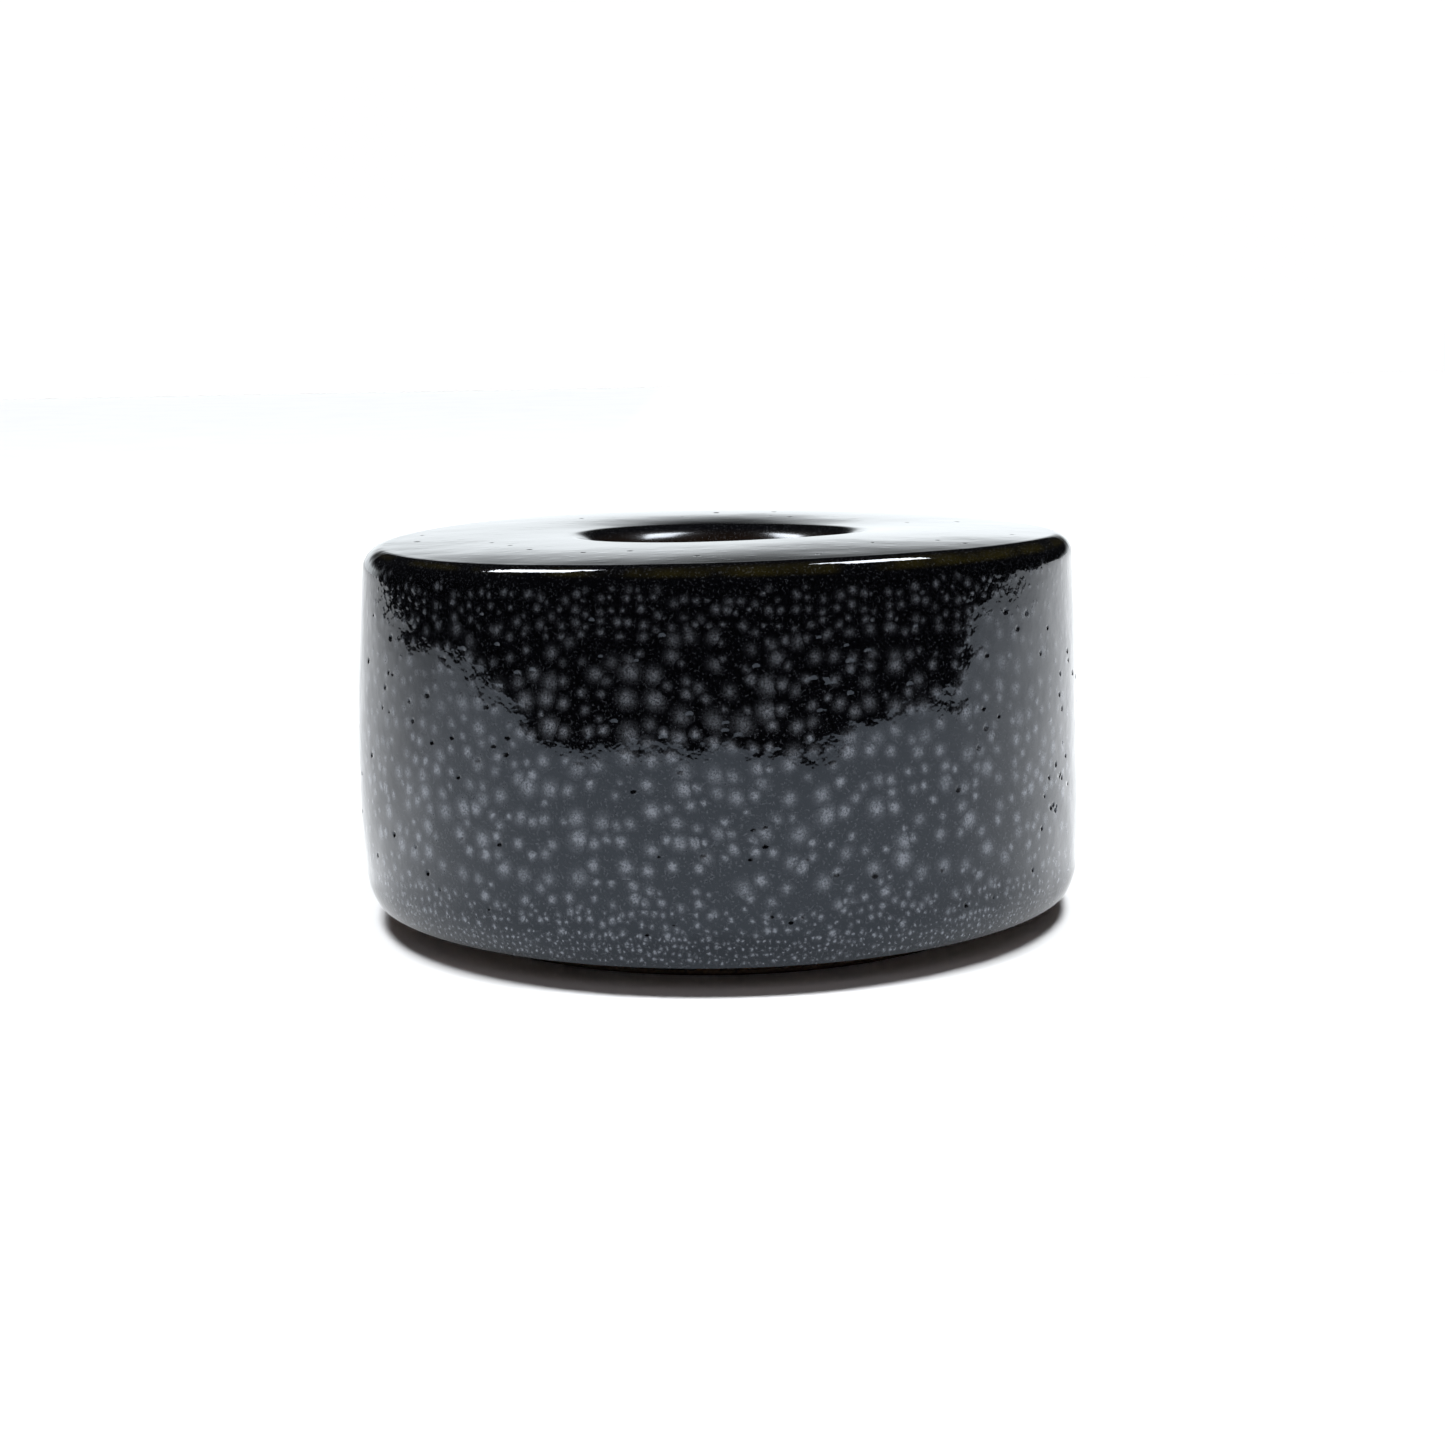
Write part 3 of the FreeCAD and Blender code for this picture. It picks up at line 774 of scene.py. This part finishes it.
def clay_material(name, dark, light):
    """Bare dark stoneware with fine sand and iron specks."""
    recipe = Recipe(name)
    sand = recipe.noise(0.35 * MM, 4.0, 0.7)
    speck = recipe.node("ShaderNodeTexVoronoi", Vector=recipe.coordinates, Scale=1.0 / (1.3 * MM))
    iron = recipe.remap(speck.outputs["Distance"], 0.12, 0.2, 1.0, 0.0)
    body = recipe.mix(recipe.remap(sand, 0.3, 0.7), dark, light)
    recipe.relief(recipe.math("MULTIPLY", sand, 0.06 * MM))
    colour = recipe.mix(recipe.math("MULTIPLY", iron, 0.7), body, IRON_BLACK)
    rough = recipe.remap(sand, 0.2, 0.8, 0.55, 0.8, smooth=False)
    return recipe.set(Base_Color=colour, Roughness=rough)


def dress(piece, material, slot, *nodes):
    """Gives a piece its material and body, and hides the CAD nodes it stands for. The slot
    argument is not used.
    """
    piece.data.materials.clear()
    piece.data.materials.append(material)
    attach(piece, BODY)
    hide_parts(*nodes)


def build_jar():
    clay = clay_material("stoneware", (0.045, 0.026, 0.016, 1), (0.10, 0.062, 0.04, 1))
    bare = clay_material("bare_stoneware", (0.04, 0.022, 0.013, 1), (0.09, 0.052, 0.032, 1))
    liner = brown_glaze_material("liner_glaze", (0.004, 0.0025, 0.002, 1),
                                 (0.022, 0.011, 0.006, 1), 6 * MM)
    thin = brown_glaze_material("thin_brown_glaze", (0.012, 0.006, 0.003, 1),
                                (0.07, 0.032, 0.014, 1), 3 * MM)
    dress(outer_glaze(), oil_spot_material(), "oil_spot_glaze", "outer_glaze")
    dress(liner_glaze(), liner, "liner_glaze", "liner_glaze")
    dress(underside_glaze(), thin, "thin_brown_glaze", "underside_glaze")
    dress(recess_glaze(), thin, "thin_brown_glaze", "recess_glaze")
    dress(foot_ring(), bare, "bare_clay", "foot_ring")
    for node in ("base_plate", "side_wall", "top_plate"):
        dress(leaning_clay(node), clay, "clay", node)


# ---------------------------------------------------------------- camera

CAMERA_PLACE = Vector((0.0, -353.8 * MM, 89.5 * MM))
CAMERA_PITCH = math.radians(9.807)
CAMERA_ROLL = math.radians(1.069)
CAMERA_LENS = 57.59


def make_camera():
    camera = bpy.data.objects.new("camera", bpy.data.cameras.new("camera"))
    camera.data.lens = CAMERA_LENS
    camera.data.sensor_width = 36.0
    camera.data.clip_start = 0.01
    look = Matrix.Rotation(math.pi / 2 - CAMERA_PITCH, 4, "X")
    turn = Matrix.Rotation(-CAMERA_ROLL, 4, "Z")
    camera.matrix_world = Matrix.Translation(CAMERA_PLACE) @ look @ turn
    bpy.context.scene.collection.objects.link(camera)
    bpy.context.scene.camera = camera


# ---------------------------------------------------------------- table, room and lights

# The white table's outline. Its front edge and what lies past it show in the glaze as
# the black patch high on the front of the jar.
TABLE = ((-1.5, 0.40), (-1.35, 0.06), (-1.0, -0.13), (-0.50, -0.21), (-0.26, -0.22),
         (-0.18, -0.28), (-0.03, -0.33), (0.10, -0.35), (0.22, -0.35), (0.34, -0.27),
         (0.39, -0.11), (0.92, -0.11), (1.5, 0.1), (1.6, 3.0), (-1.6, 3.0), (-1.1, 0.85))
TABLE_WHITE = (0.86, 0.88, 0.90, 1)
# How much painted shade darkens the table at the back on the left.
TABLE_SHADE = 0.25
BLACK = (0, 0, 0, 1)

SURROUND_RADIUS = 5.0
SURROUND_GLOW = 1.03

# The white screen behind the jar, in parts of a direction of length 1. It fades between
# two heights, less high on the right, and its edge is further forward on the right.
SCREEN_FULL = 0.090
SCREEN_GONE = 0.200
SCREEN_DROP = 0.25
SCREEN_LEFT = (-0.3, 0.70)
SCREEN_RIGHT = (0.3, 0.30)
SCREEN_SOFT = 0.12
SCREEN_GLOW = 1.4
ROOM_GLOW = 0.006
ROOM_COLOUR = (0.95, 1.0, 1.03, 1)

SOFTBOX_LEFT = (-0.42, 0.40, 0.816)
SOFTBOX_RIGHT = (0.35, 0.37, 0.862)
SOFTBOX_FAR = 0.9
SOFTBOX_SIZE = (0.22, 0.24)
SOFTBOX_POWER = 3.9

SUN_POWER = 2.45
SUN_WIDTH = math.radians(15)
SUN_BACK = math.radians(6)
SUN_ASIDE = math.radians(12)

FILL_FROM = (0.0, -1.0, 0.70)
FILL_FAR = 1.2
FILL_SIZE = (1.2, 0.5)
FILL_POWER = 1.7
FILL_COLOUR = (1.0, 0.91, 0.93)
WHITE = (1, 1, 1)


def table_material():
    """A white table, with painted shade at the back on the left that stands in for light falling
    off there.
    """
    recipe = Recipe("white_table")
    parts = recipe.node("ShaderNodeSeparateXYZ", Vector=recipe.coordinates)
    left = recipe.remap(parts.outputs["X"], -90 * MM, -30 * MM, 1.0, 0.0)
    back = recipe.remap(parts.outputs["Y"], -10 * MM, 50 * MM, 0.0, TABLE_SHADE)
    tone = recipe.remap(recipe.noise(60 * MM, 2.0), 0.3, 0.7, 0.98, 1.0)
    # Painted shade: the table's colour darkens towards the back on the left.
    tone = recipe.math("SUBTRACT", tone, recipe.math("MULTIPLY", left, back))
    return recipe.set(Base_Color=recipe.mix(tone, BLACK, TABLE_WHITE), Roughness=0.6,
                      Specular_IOR_Level=0.0)


def surround_material():
    """A glowing white that is very slightly uneven."""
    recipe = Recipe("white_surround")
    drift = recipe.remap(recipe.noise(2.0, 1.0), 0.3, 0.7, 0.97, 1.0)
    return recipe.set(Base_Color=BLACK, Emission_Strength=SURROUND_GLOW,
                      Specular_IOR_Level=0.0,
                      Emission_Color=recipe.mix(drift, BLACK, (*WHITE, 1)))


def build_table():
    mesh = bpy.data.meshes.new("table")
    mesh.from_pydata([(x, y, 0) for x, y in TABLE], [], [tuple(range(len(TABLE)))])
    mesh.materials.append(table_material())
    table = bpy.data.objects.new("table", mesh)
    bpy.context.scene.collection.objects.link(table)


def build_surround():
    """A white surround that only the camera sees."""
    mesh = bpy.data.meshes.new("surround")
    form = bmesh.new()
    bmesh.ops.create_icosphere(form, subdivisions=4, radius=SURROUND_RADIUS)
    form.to_mesh(mesh)
    form.free()
    mesh.materials.append(surround_material())
    surround = bpy.data.objects.new("surround", mesh)
    bpy.context.scene.collection.objects.link(surround)
    surround.visible_glossy = False
    surround.visible_diffuse = False
    surround.visible_shadow = False
    surround.visible_transmission = False


def build_room():
    """How bright the room is in each direction, as seen in the glaze.

    There is a white screen low down behind the jar and near black everywhere else.
    """
    world = bpy.data.worlds.new("room")
    bpy.context.scene.world = world
    world.use_nodes = True
    room = Nodes(world.node_tree)
    way = room.node("ShaderNodeTexCoord").outputs["Generated"]
    parts = room.node("ShaderNodeSeparateXYZ", Vector=way)
    (left, left_edge), (right, right_edge) = SCREEN_LEFT, SCREEN_RIGHT
    edge = room.remap(parts.outputs["X"], left, right, left_edge, right_edge, smooth=False)
    aside = room.math("MULTIPLY", room.math("MAXIMUM", parts.outputs["X"], 0.0), SCREEN_DROP)
    rise = room.math("ADD", parts.outputs["Z"], aside)
    screen = room.remap(rise, SCREEN_FULL, SCREEN_GONE, 1.0, 0.0, smooth=False)
    screen = room.math("MULTIPLY", screen, screen)
    behind = room.math("SUBTRACT", parts.outputs["Y"], edge)
    behind = room.remap(behind, 0.0, SCREEN_SOFT, 0.0, 1.0, smooth=False)
    screen = room.math("MULTIPLY", screen, behind)
    shade = world.node_tree.nodes["Background"]
    room.put(shade.inputs["Strength"], room.math("MULTIPLY_ADD", screen, SCREEN_GLOW, ROOM_GLOW))
    shade.inputs["Color"].default_value = ROOM_COLOUR


def area_light(name, direction, distance, size, power, colour=WHITE):
    """A rectangular light that faces the middle of the jar's top."""
    lamp = bpy.data.lights.new(name, "AREA")
    lamp.shape = "RECTANGLE"
    lamp.size, lamp.size_y = size
    lamp.energy = power
    lamp.color = colour
    light = bpy.data.objects.new(name, lamp)
    aim = Vector(direction).normalized()
    light.location = Vector((0, 0, CREST_HEIGHT)) + aim * distance
    light.rotation_euler = aim.to_track_quat("Z", "Y").to_euler()
    light.visible_camera = False
    bpy.context.scene.collection.objects.link(light)
    return light


def overhead_light(name, side):
    """A broad light from above that doesn't show in the glaze."""
    lamp = bpy.data.lights.new(name, "SUN")
    lamp.energy = SUN_POWER
    lamp.angle = SUN_WIDTH
    light = bpy.data.objects.new(name, lamp)
    light.rotation_euler = (SUN_BACK, SUN_ASIDE * side, 0)
    light.visible_glossy = False
    bpy.context.scene.collection.objects.link(light)


def build_studio():
    scene = bpy.context.scene
    scene.view_settings.view_transform = "Standard"
    scene.view_settings.look = "None"
    build_table()
    build_surround()
    build_room()
    area_light("softbox_left", SOFTBOX_LEFT, SOFTBOX_FAR, SOFTBOX_SIZE, SOFTBOX_POWER)
    area_light("softbox_right", SOFTBOX_RIGHT, SOFTBOX_FAR, SOFTBOX_SIZE, SOFTBOX_POWER)
    overhead_light("overhead_left", -1)
    overhead_light("overhead_right", 1)
    fill = area_light("front_fill", FILL_FROM, FILL_FAR, FILL_SIZE, FILL_POWER, FILL_COLOUR)
    fill.visible_glossy = False


build_jar()
build_studio()
make_camera()
